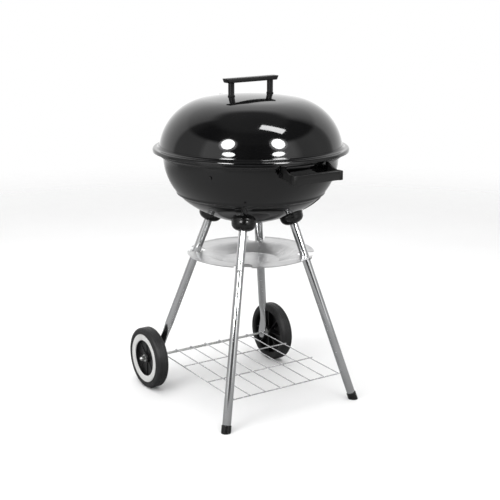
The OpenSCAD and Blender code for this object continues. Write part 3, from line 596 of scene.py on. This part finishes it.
def leg_line(side, rear):
    """Upper end of a leg and the point that its tube heads for."""
    top = Vector((side * SEAT.x, SEAT.y if rear else -SEAT.y, SEAT.z))
    foot = BEND if rear else FOOT
    return top, Vector((side * foot.x, foot.y, foot.z))


def socket(top, foot):
    """A pressed cup with a rim, trimmed to the bowl's round bottom."""
    steps = [-2 - 19.8 * i / 18 for i in range(19)]
    side = [(26.9 * (1 - (abs(z + 2) / 20.6) ** 2.7) ** (1 / 2.7), z) for z in steps]
    outline = ([(3.2, 10), (28, 10), (28, -1.2), (27.6, -1.9)] + side
               + [(10.6, -22), (9.6, -21.4), (9.6, -11), (3.2, -11)])
    place = Matrix.Translation(top) @ (top - foot).to_track_quat("Z", "Y").to_matrix().to_4x4()
    return cut(placed(turned(outline, 72), place), under_bowl())


def strap(turn):
    """A flat strap pressed against the bowl, from the socket out to the ridge."""
    rings = []
    for i in range(11):
        angle = BOWL_ANGLE * 0.83 + (45.2 - BOWL_ANGLE * 0.83) * i / 10
        if angle < BOWL_ANGLE:
            x, z, r = 0, BOTTOM_Z, BOTTOM_R
        else:
            x, z, r = SIDE_X, SIDE_Z, SIDE_R
        a = math.radians(angle)
        out = Vector((math.sin(a), 0, -math.cos(a)))
        centre = Vector((x, 0, z)) + out * (r + 1.1)
        end = 0.72 if i in (0, 10) else 1
        rings.append((centre, Vector((0, 8 * end, 0)), out * 1.05 * end, 7))
    return placed(drawn_out(rings, 40), Matrix.Rotation(turn, 4, "Z"))


STRAP_TURNS = (SOCKET_ANGLE, math.pi - SOCKET_ANGLE, math.pi + SOCKET_ANGLE, math.tau - SOCKET_ANGLE)
piece("leg_strap_set", together(*[strap(turn) for turn in STRAP_TURNS]),
      "stand", "black_enamel", BOWL_ENAMEL, "leg_straps")


def front_leg(top, foot):
    way = (foot - top).normalized()
    return rod(top + way * TUBE_START, foot - way * 8, TUBE_R, 64, 0.6)


def rear_leg(top, bend, side):
    """A tube pressed flat towards its lower end, which is drilled for the axle."""
    end = Vector((side * EAR_END.x, EAR_END.y, EAR_END.z))
    way, down = (bend - top).normalized(), (end - bend).normalized()

    def ring(centre, heading, thick, wide, squareness):
        across = (Vector((1, 0, 0)) - heading * heading.x).normalized()
        return centre, across * thick, heading.cross(across) * wide, squareness

    rings = [ring(top + way * TUBE_START, way, TUBE_R * 0.93, TUBE_R * 0.93, 2),
             ring(top + way * (TUBE_START + 0.6), way, TUBE_R, TUBE_R, 2)]
    # squeezed little by little, then bent at the kink to hang straight down beside the wheel
    for before, thick, wide, squareness in ((58, 9.5, 9.5, 2), (50, 8.6, 9.9, 2), (42, 6.6, 10.3, 2.3),
                                            (32, 4.4, 10.6, 2.8), (23, 3.1, 11, 3.4), (14, 2.5, 11.5, 4)):
        rings.append(ring(bend - way * before, way, thick, wide, squareness))
    rings.append(ring(bend - way * 3.5, way.lerp(down, 0.3), 2.1, 12.1, 5))
    rings.append(ring(bend + down * 1.5, way.lerp(down, 0.9), 2, 12.4, 6))
    rings.append(ring(bend + down * 6, down, 2, 12.5, 6))
    rings.append(ring(end - down * 3, down, 2, 12.4, 6))
    for i in range(10):
        a = math.radians(6 + i * 8.6)
        rings.append(ring(end + down * (12.4 * math.sin(a)), down, 2, 12.4 * math.cos(a), 6))
    leg = drawn_out(rings, 56)
    return cut(leg, rod((end.x - 20, end.y, end.z), (end.x + 20, end.y, end.z), 3.1, 32, 0.01))


def foot_cap(foot, top):
    """A sleeve with a rolled lip, cut flat where it stands on the floor."""
    outline = softened([(0, -10), (10.9, -10), (10.9, 13.2), (11.0, 15.6), (9.6, 16), (9.6, 7), (0, 7)],
                       0.7)
    place = Matrix.Translation(foot) @ (top - foot).to_track_quat("Z", "Y").to_matrix().to_4x4()
    bm = placed(turned(outline, 64), place)
    bmesh.ops.bisect_plane(bm, geom=bm.verts[:] + bm.edges[:] + bm.faces[:], dist=1e-4,
                           plane_co=(0, 0, 0.02), plane_no=(0, 0, -1), clear_outer=True)
    bmesh.ops.holes_fill(bm, edges=[e for e in bm.edges if e.is_boundary], sides=0)
    return closed(bm)


for rear, row in ((False, "front"), (True, "rear")):
    for side, hand in ((-1, "left"), (1, "right")):
        top, foot = leg_line(side, rear)
        piece(f"leg_cup_{row}_{hand}", socket(top, foot), "stand", "black_plastic", BAKELITE,
              f"socket_{row}_{hand}")
        turn = (top - foot).to_track_quat("Z", "Y").inverted().to_euler()
        tube = rear_leg(top, foot, side) if rear else front_leg(top, foot)
        piece(f"leg_tube_{row}_{hand}", tube, "stand", "chromed_tube",
              chromed(f"chromed_tube_{row}_{hand}", turn), f"leg_{row}_{hand}")
        if not rear:
            piece(f"foot_sleeve_{hand}", foot_cap(foot, top), "stand", "black_plastic", BAKELITE,
                  f"foot_cap_{hand}")

# ---------- ash tray ----------

TRAY_Z, TRAY_SHEET = 343, 1.25
FLOOR_Z, FLOOR_R, BORDER_R = 325, 65, 106
LEG_AT_TRAY, SLOT_SHIFT, SLOT_R, SLOT_ROOM = 123.85, 7.5, 20, 8


def tray_slope(count=15, straight=0.7, easing=0.75):
    """From a crisp lower corner up a straight slope to a soft upper edge."""
    foot_z, line = FLOOR_Z + 0.4, []
    for i in range(1, count):
        t = i / count
        rise = t if t < straight else t - (t - straight) ** 2 * easing
        full = 1 - (1 - straight) ** 2 * easing
        line.append((FLOOR_R + (BORDER_R - FLOOR_R) * t, foot_z + (TRAY_Z - foot_z) * rise / full))
    return line


top_side = ([(0, FLOOR_Z), (FLOOR_R - 1, FLOOR_Z), (FLOOR_R, FLOOR_Z + 0.4)] + tray_slope()
            + [(BORDER_R + 2, TRAY_Z), (137.5, TRAY_Z), (140, TRAY_Z + 0.4), (141.6, TRAY_Z + 1.3),
               (143, TRAY_Z + 1.9), (144.6, TRAY_Z + 2), (145.4, TRAY_Z + 1.4)])
underside = [(r + 0.3 if r > 1 else r, z - TRAY_SHEET) for r, z in top_side[:-2]] + [(145.2, TRAY_Z + 0.9)]
tray = turned(top_side + underside[::-1], 160)


def slot_tools():
    """Cutters for the open slots that let the legs pass the tray's rim."""
    tools = []
    middle = LEG_AT_TRAY - TUBE_R - SLOT_ROOM + SLOT_R
    for rear in (False, True):
        for side in (-1, 1):
            top, foot = leg_line(side, rear)
            spot = top.lerp(foot, (top.z - TRAY_Z) / (top.z - foot.z))
            turn = Matrix.Rotation(math.atan2(spot.y, spot.x) + math.asin(SLOT_SHIFT / LEG_AT_TRAY), 4, "Z")
            tools.append(placed(block((100, 2 * SLOT_R, 20), (middle + 50, 0, TRAY_Z)), turn))
            slot_end = rod((middle, 0, TRAY_Z - 9), (middle, 0, TRAY_Z + 9), SLOT_R, 48, 0.01)
            tools.append(placed(slot_end, turn))
    return tools


piece("ash_catcher", cut(tray, *slot_tools()), "stand", "satin_sheet", SATIN, "ash_tray", sharp=24)

# ---------- wire shelf ----------

SHELF_Z, SHELF_HALF = 64.4, 143.5
SHELF_WIRES, WIRE_PITCH = 8, 41
SHELF_FRONT = FOOT.lerp(Vector((SEAT.x, -SEAT.y, SEAT.z)), SHELF_Z / SEAT.z)
# The wires' hooks over the axle
HOOK_R = 4.35
SHELF_BACK_Z = AXLE_Z + HOOK_R
WIRE_R = 1.3


def long_wire(x):
    """From the front bar back over the axle, where its end hooks round."""
    hook = [(x, AXLE_Y + HOOK_R * math.cos(a), AXLE_Z + HOOK_R * math.sin(a))
            for a in [math.radians(90 - 14.5 * i) for i in range(12)]]
    start = Vector((x, SHELF_FRONT.y - 1.5, SHELF_FRONT.z))
    near = Vector(hook[0]).lerp(start, 0.02)
    return wire([start, near] + hook, WIRE_R)


def cross_wire(t):
    y = AXLE_Y + (SHELF_FRONT.y - AXLE_Y) * t
    z = SHELF_BACK_Z + (SHELF_FRONT.z - SHELF_BACK_Z) * t + WIRE_R * 1.75
    end = SHELF_HALF + 4
    return wire([(-end, y, z), (-50, y, z), (50, y, z), (end, y, z)], WIRE_R)


front_reach = SHELF_FRONT.x - TUBE_R + 3.2
shelf = [wire([(-front_reach, SHELF_FRONT.y, SHELF_FRONT.z), (front_reach, SHELF_FRONT.y, SHELF_FRONT.z)],
              WIRE_R)]
shelf += [long_wire(WIRE_PITCH * i - SHELF_HALF) for i in range(SHELF_WIRES)]
shelf += [cross_wire(1 / 3), cross_wire(2 / 3)]
piece("shelf_wires", together(*shelf), "stand", "chromed_wire", WIRE, "wire_shelf")

# ---------- grates ----------

RING_R, BAR_R = 2.5, 1.8


def grate_ring(ring_r, z, brace_x):
    """A ring with two braces across it."""
    tube = [(ring_r + x, z + y) for x, y in arc(0, 0, RING_R, 0, 360, 16)[:-1]]
    reach = math.sqrt(ring_r ** 2 - brace_x ** 2)
    braces = [rod((x, -reach, z), (x, reach, z), BAR_R, 14) for x in (-brace_x, brace_x)]
    return together(turned(tube, 120), *braces)


def grate_bars(ring_r, pitch, z):
    count = int((ring_r + RING_R - 8) // pitch)
    bars = []
    for i in range(-count, count + 1):
        reach = math.sqrt(ring_r ** 2 - (i * pitch) ** 2)
        bars.append(rod((-reach, i * pitch, z), (reach, i * pitch, z), BAR_R, 12))
    return together(*bars)


COOK_R, COOK_PITCH, COOK_BRACE_X, LOOP_X = 185.5, 15.5, 75.2, 139.1
COAL_R, COAL_PITCH, COAL_BRACE_X = 153.5, 21, 62.4
COOK_Z = RIM_Z - 30
COOK_BAR_Z = COOK_Z + RING_R + BAR_R
COAL_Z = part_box("charcoal_grate_ring")[0].z / MM + RING_R
piece("cooking_grate_frame", grate_ring(COOK_R, COOK_Z, COOK_BRACE_X), "cooking_grate", "chromed_wire", WIRE,
      "cooking_grate_ring")
piece("cooking_grate_wires", grate_bars(COOK_R, COOK_PITCH, COOK_BAR_Z), "cooking_grate", "chromed_wire",
      WIRE, "cooking_grate_bars")
piece("charcoal_grate_frame", grate_ring(COAL_R, COAL_Z, COAL_BRACE_X), "charcoal_grate", "dark_wire",
      DARK_WIRE, "charcoal_grate_ring")
piece("charcoal_grate_wires", grate_bars(COAL_R, COAL_PITCH, COAL_Z + RING_R + BAR_R),
      "charcoal_grate", "dark_wire", DARK_WIRE, "charcoal_grate_bars")


def lifting_loop(x):
    """A wire bent up into a loop, its two feet joined on the bars."""
    low, high, reach, bend = COOK_BAR_Z + 2 * BAR_R, COOK_BAR_Z + 2 * BAR_R + 18, 38.75, 5
    path = [(x, 0, low), (x, reach - bend, low)]
    for centre, start in (((reach - bend, low + bend), -90), ((reach - bend, high - bend), 0),
                          ((bend - reach, high - bend), 90), ((bend - reach, low + bend), 180)):
        for i in range(7):
            a = math.radians(start + 15 * i)
            path.append((x, centre[0] + bend * math.cos(a), centre[1] + bend * math.sin(a)))
    path.append((x, 0, low))
    return wire(path, BAR_R, 14)


piece("cooking_grate_grips", together(lifting_loop(-LOOP_X), lifting_loop(LOOP_X)), "cooking_grate",
      "chromed_wire", WIRE, "cooking_grate_loops")

# ---------- side handle ----------

LUG_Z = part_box("side_handle_lugs")[1].z / MM - 9
LUG_Y = SIDE_X + math.sqrt(SIDE_R ** 2 - (SIDE_Z - LUG_Z) ** 2)
GRIP_Z = LUG_Z - 6
GRIP_REACH = 253


def handle_arm(side):
    """A flat arm from its lug out to the grip."""
    root_y, tip_y = -LUG_Y - 3.3, 10 - GRIP_REACH
    rings = []
    for t, half, top, low in ((0, 1.5, 15.8, -7.6), (0.02, 1.9, 16.8, -8.6), (0.18, 2, 15.6, -8.8),
                              (0.6, 2.2, 6.6, -12.4), (1, 2.4, 2.6, -14.8), (1.02, 2.1, 2.2, -14.2)):
        centre = Vector((side * (58.1 + 0.9 * t), root_y + (tip_y - root_y) * t, LUG_Z + (top + low) / 2))
        rings.append((centre, Vector((half, 0, 0)), Vector((0, 0, (top - low) / 2)), 9))
    return drawn_out(rings, 48)


def grip():
    """The front bar, with a shallow panel along its face and closed end caps."""
    bm = block((110, 14.6, 18.8), (0, 7.4 - GRIP_REACH, GRIP_Z))
    front = [f for f in bm.faces if f.normal.y < -0.5]
    bmesh.ops.inset_individual(bm, faces=front, thickness=2.2, depth=-0.5)
    sharp = [e for e in bm.edges if len(e.link_faces) == 2 and e.calc_face_angle() > 1]
    bevelled(bm, sharp, 0.9, 3)
    caps = [block((9, 16, 20.2), (side * 58.5, 8 - GRIP_REACH, GRIP_Z), 1.4) for side in (-1, 1)]
    return together(bm, *caps)


piece("side_grip", together(painted(grip(), 0), painted(handle_arm(-1), 0), painted(handle_arm(1), 0)),
      "stand", "black_plastic", BAR_PLASTIC, "side_handle")

# ---------- wheels ----------

WHEEL_R, WHEEL_IN = 72.5, 163.5
AT_WHEEL = {hand: Matrix.Translation((side * WHEEL_IN, AXLE_Y, AXLE_Z))
            @ Matrix.Rotation(side * math.pi / 2, 4, "Y")
            for side, hand in ((-1, "left"), (1, "right"))}


def tyre():
    """Rounded shoulders, two shallow grooves round the tread and a moulded line on each side."""
    r = WHEEL_R

    def groove(z):
        return [(r, z - 0.9), (r - 0.55, z - 0.35), (r - 0.55, z + 0.35), (r, z + 0.9)]

    outline = ([(58, 0.5), (58.4, 0), (63.2, 0), (63.6, 0.35), (64.2, 0.35), (64.6, 0)]
               + arc(65.5, 7, 7, 180, 90, 10) + groove(9.6) + groove(20.4) + arc(65.5, 23, 7, 90, 0, 10)
               + [(64.6, 30), (64.2, 29.65), (63.6, 29.65), (63.2, 30), (58.4, 30), (58, 29.5)])
    return turned(outline, 144)


def hub():
    """Rim channel, web and boss in one, with ribs on both faces of the web."""
    outline = [(3.05, -1), (13, -1), (13, 17), (51.9, 17), (51.9, 20), (45.5, 20), (45.5, 24.5),
               (54.9, 24.5), (54.9, 2), (57.9, 2), (57.9, 27), (43, 27), (43, 20), (13, 20),
               (13, 26), (3.05, 26)]
    ribs = []
    for i in range(8):
        turn = Matrix.Rotation(math.tau * i / 8, 4, "Z")
        ribs.append(placed(block((42, 2.4, 13.5), (33, 0, 11.6), 0.5), turn))
        ribs.append(placed(block((33, 2.4, 3), (27.6, 0, 20.4), 0.8), turn))
    return together(turned(softened(outline, 0.8), 120), *ribs)


def trim_ring():
    outline = softened([(43, 27.1), (57.9, 27.1), (57.9, 29.2), (56.9, 30), (44.5, 29.4), (43, 28.4)], 0.8)
    return turned(outline, 144)


for hand, place in AT_WHEEL.items():
    body = f"wheel_{hand}"
    piece(f"tyre_moulding_{hand}", placed(tyre(), place), body, "tyre_rubber", RUBBER, f"tyre_{hand}")
    piece(f"wheel_centre_{hand}", placed(hub(), place), body, "black_plastic", HUB, f"hub_{hand}")
    piece(f"white_ring_{hand}", placed(trim_ring(), place), body, "white_plastic", RING, f"trim_ring_{hand}")

# ---------- finishes of the parts that are shown as they are ----------

kept = {"lid_handle_feet": POST_PLASTIC, "side_handle_lugs": BOWL_ENAMEL,
        "side_handle_screws": BOWL_ENAMEL, "bracket_rivets": BOWL_ENAMEL}
for node in ("lid_handle_screws", "lid_damper_rivet", "bowl_damper_rivet", "grate_brackets",
             "leg_bolts", "leg_inserts", "tray_screws", "axle",
             "axle_washers", "axle_nuts"):
    kept[node] = ZINC
for node, finish in kept.items():
    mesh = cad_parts[node].data
    mesh.materials.clear()
    mesh.materials.append(finish)

# ---------- studio ----------

PALE = 1.0
BRIGHTEST = 2.0
CEILING = 0.22
# Brightness of the room by azimuth, 0 being straight in front of the grill: near the floor, then higher up
WALLS_LOW = ((-180, 1.24), (-165, 1.12), (-147, 0.94), (-141, 0.42), (-120, 0.54), (-101, 0.66),
             (-94, 1.2), (-72, 1.2), (-64, 0.1), (-30, 0.05), (-8, 0.1), (6, 1.5), (22, 1.3),
             (34, 0.6), (60, 0.56), (76, 0.42), (84, 0.46), (90, 1.02), (106, 1.2), (130, 1.36),
             (160, 1.4), (180, 1.24))
WALLS_HIGH = ((-180, 1.12), (-165, 0.98), (-149, 0.76), (-140, 0.16), (-120, 0.05), (-90, 0.06),
              (-60, 0.11), (-30, 0.1), (0, 0.12), (40, 0.1), (78, 0.08), (87, 0.5), (96, 0.84),
              (110, 1.06), (130, 1.3), (160, 1.34), (180, 1.12))


def studio_floor():
    """A pale floor that fades out where the backdrop begins.

    The grill's own polish sees it dimmer, as the shaded paper under a product is."""
    bm = bmesh.new()
    bmesh.ops.create_circle(bm, cap_ends=True, segments=64, radius=3.4)
    mesh = bpy.data.meshes.new("studio_floor")
    bm.to_mesh(mesh)
    bm.free()
    f = Finish("studio_floor", Roughness=0.9)
    f.shader.inputs["Specular IOR Level"].default_value = 0.0
    f.colours(f.noise(3), (0.3, (0.885, 0.885, 0.885)), (0.7, (0.9, 0.9, 0.9)))
    away = f.node("ShaderNodeVectorMath", Vector=f.place())
    away.operation = "LENGTH"
    fade = f.node("ShaderNodeMapRange", Value=away.outputs["Value"], From_Min=1.5, From_Max=3.2)
    fade.interpolation_type = "SMOOTHSTEP"
    dim = f.tree.nodes.new("ShaderNodeBsdfDiffuse")
    dim.inputs["Color"].default_value = (0.42, 0.42, 0.42, 1)
    rays = f.tree.nodes.new("ShaderNodeLightPath")
    clear = f.tree.nodes.new("ShaderNodeBsdfTransparent")
    seen, blend = [f.tree.nodes.new("ShaderNodeMixShader") for _ in range(2)]
    for start, end in ((rays.outputs["Is Camera Ray"], seen.inputs[0]),
                       (dim.outputs[0], seen.inputs[1]),
                       (f.shader.outputs[0], seen.inputs[2]),
                       (fade.outputs[0], blend.inputs[0]),
                       (seen.outputs[0], blend.inputs[1]),
                       (clear.outputs[0], blend.inputs[2]),
                       (blend.outputs[0], f.tree.nodes["Material Output"].inputs["Surface"])):
        f.tree.links.new(start, end)
    mesh.materials.append(f.made)
    floor = bpy.data.objects.new("studio_floor", mesh)
    scene.collection.objects.link(floor)


def studio_world():
    """A bright backdrop behind the grill, grey walls beside it and a dim room in front.

    The camera itself sees a plain pale backdrop."""
    world = bpy.data.worlds.new("studio")
    scene.world = world
    world.use_nodes = True
    nodes, links = world.node_tree.nodes, world.node_tree.links
    nodes.clear()

    def math_node(operation, first, second):
        node = nodes.new("ShaderNodeMath")
        node.operation = operation
        for socket, value in zip(node.inputs, (first, second)):
            if isinstance(value, bpy.types.NodeSocket):
                links.new(value, socket)
            else:
                socket.default_value = value
        return node.outputs[0]

    def fade(value, start, stop):
        node = nodes.new("ShaderNodeMapRange")
        node.interpolation_type = "SMOOTHSTEP"
        node.inputs["From Min"].default_value = start
        node.inputs["From Max"].default_value = stop
        links.new(value, node.inputs["Value"])
        return node.outputs[0]

    def levels(fac, stops):
        node = nodes.new("ShaderNodeValToRGB")
        ramp_stops(node, [((azimuth + 180) / 360, (level / BRIGHTEST,) * 3) for azimuth, level in stops])
        links.new(fac, node.inputs["Fac"])
        return node.outputs[0]

    def mixed(fac, first, second):
        node = nodes.new("ShaderNodeMix")
        node.data_type = "RGBA"
        links.new(fac, node.inputs[0])
        for socket, value in zip([i for i in node.inputs if i.type == "RGBA"], (first, second)):
            if isinstance(value, bpy.types.NodeSocket):
                links.new(value, socket)
            else:
                socket.default_value = value
        return next(o for o in node.outputs if o.type == "RGBA")

    way = nodes.new("ShaderNodeSeparateXYZ")
    links.new(nodes.new("ShaderNodeTexCoord").outputs["Generated"], way.inputs[0])
    turn = math_node("ARCTAN2", way.outputs["X"], math_node("MULTIPLY", way.outputs["Y"], -1.0))
    around = math_node("ADD", math_node("DIVIDE", turn, math.tau), 0.5)
    low = levels(around, WALLS_LOW)
    high = levels(around, WALLS_HIGH)
    walls = mixed(fade(way.outputs["Z"], 0.52, 0.62), low, high)
    ceiling = (CEILING / BRIGHTEST,) * 3 + (1,)
    room_colour = mixed(fade(way.outputs["Z"], 0.82, 0.93), walls, ceiling)
    room, plain = nodes.new("ShaderNodeBackground"), nodes.new("ShaderNodeBackground")
    links.new(room_colour, room.inputs["Color"])
    room.inputs["Strength"].default_value = BRIGHTEST
    plain.inputs["Color"].default_value = (PALE, PALE, PALE, 1)
    seen = nodes.new("ShaderNodeLightPath").outputs["Is Camera Ray"]
    mix = nodes.new("ShaderNodeMixShader")
    links.new(seen, mix.inputs[0])
    links.new(room.outputs[0], mix.inputs[1])
    links.new(plain.outputs[0], mix.inputs[2])
    links.new(mix.outputs[0], nodes.new("ShaderNodeOutputWorld").inputs["Surface"])


def lamp(name, azimuth, elevation, size, glow, shape="ELLIPSE", along=None, glossy=True,
         diffuse=False, distance=2.6, aim=(0, 0, 0.62)):
    """A panel of light that faces the grill from a direction, with its own brightness."""
    data = bpy.data.lights.new(name, "AREA")
    data.shape = shape
    data.size, data.size_y = size
    area = size[0] * size[1] * (math.pi / 4 if shape == "ELLIPSE" else 1)
    data.energy = glow * math.pi * area
    a, e = math.radians(azimuth), math.radians(elevation)
    away = Vector((math.sin(a) * math.cos(e), -math.cos(a) * math.cos(e), math.sin(e)))
    across = Vector(along) if along else Vector((math.cos(a), math.sin(a), 0))
    across = (across - away * across.dot(away)).normalized()
    turn = Matrix((across, away.cross(across), away)).transposed().to_4x4()
    obj = bpy.data.objects.new(name, data)
    scene.collection.objects.link(obj)
    obj.matrix_world = Matrix.Translation(Vector(aim) + away * distance) @ turn
    obj.visible_camera = False
    obj.visible_glossy = glossy
    obj.visible_diffuse = diffuse


studio_floor()
studio_world()
for side, azimuth, lower in (("left", -64.5, -60.5), ("right", 3, -0.5)):
    lamp(f"softbox_{side}", azimuth, 32, (0.7, 0.86), 32)
    lamp(f"softbox_glow_{side}", azimuth, 31, (1.0, 1.1), 1.6)
    lamp(f"table_glow_{side}", lower, 13.5, (0.7, 0.36), 30)
lamp("strip", 13.6, 61, (1.12, 0.46), 17, shape="RECTANGLE", along=(0.74, -0.547, -0.385))
lamp("overhead", -34, 80, (3.4, 3.4), 3.0, shape="SQUARE", glossy=False, diffuse=True)
lamp("fill_left", -80, 22, (1.8, 1.8), 3.2, shape="SQUARE", glossy=False, diffuse=True)

camera_data = bpy.data.cameras.new("camera")
camera_data.sensor_width = 36
camera_data.lens = 79.6
camera = bpy.data.objects.new("camera", camera_data)
scene.collection.objects.link(camera)
yaw, pitch = math.radians(-33.8), math.radians(14.38)
back = Vector((math.sin(yaw) * math.cos(pitch), -math.cos(yaw) * math.cos(pitch), math.sin(pitch)))
camera.location = (-1.3664, -2.0325, 0.9762)
camera.rotation_euler = back.to_track_quat("Z", "Y").to_euler()
camera_data.clip_end = 100
scene.camera = camera
scene.view_settings.view_transform = "Standard"
